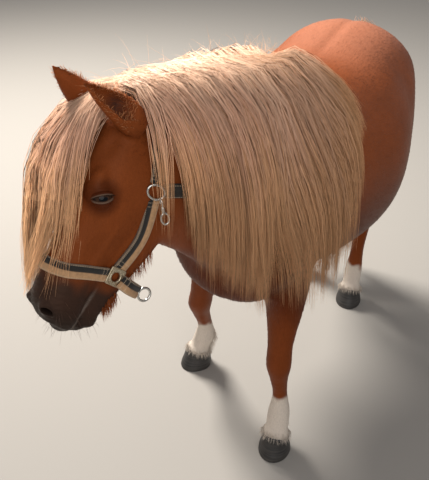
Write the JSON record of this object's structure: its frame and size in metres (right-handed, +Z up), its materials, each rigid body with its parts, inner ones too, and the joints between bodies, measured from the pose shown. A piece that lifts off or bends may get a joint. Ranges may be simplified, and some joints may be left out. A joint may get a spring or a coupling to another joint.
{
  "type": "shetland pony model",
  "caption": "Life-size still model of a chestnut pony with a long flaxen mane, standing with its head lowered and turned to its right, wearing a webbing headcollar.",
  "frame": {"origin": "ground level, below the middle of the whole pony's box seen from above", "axes": "+Z up; the pony faces -Y and its own left side is +X"},
  "size_m": [0.6878, 1.5071, 1.0886],
  "materials": {
    "hide": "short, slightly glossy coat",
    "hair": "long, silky hair",
    "horn": "worn, faintly ridged horn",
    "eye": "wet and glossy",
    "webbing": "woven, padded webbing in grey and tan",
    "cast_brass": "cast, worn to a pale matt surface",
    "chrome": "plated, lightly scratched"
  },
  "bodies": {
    "root": {"torso": "hide", "neck": "hide", "head": "hide", "ear_left": "hide", "ear_right": "hide", "eye_left": "eye", "eye_right": "eye", "foreleg_left": "hide", "foreleg_right": "hide", "hindleg_left": "hide", "hindleg_right": "hide", "forehoof_left": "horn", "forehoof_right": "horn", "hindhoof_left": "horn", "hindhoof_right": "horn", "mane": "hair", "forelock": "hair", "tail": "hair", "halter_noseband": "webbing", "halter_chin_strap": "webbing", "halter_cheek_strap_left": "webbing", "halter_cheek_strap_right": "webbing", "halter_crown": "webbing", "halter_throat_strap": "webbing", "halter_square_left": "cast_brass", "halter_square_right": "cast_brass", "halter_ring_left": "chrome", "halter_ring_right": "chrome", "halter_tie_ring": "chrome"}
  },
  "joints": []
}
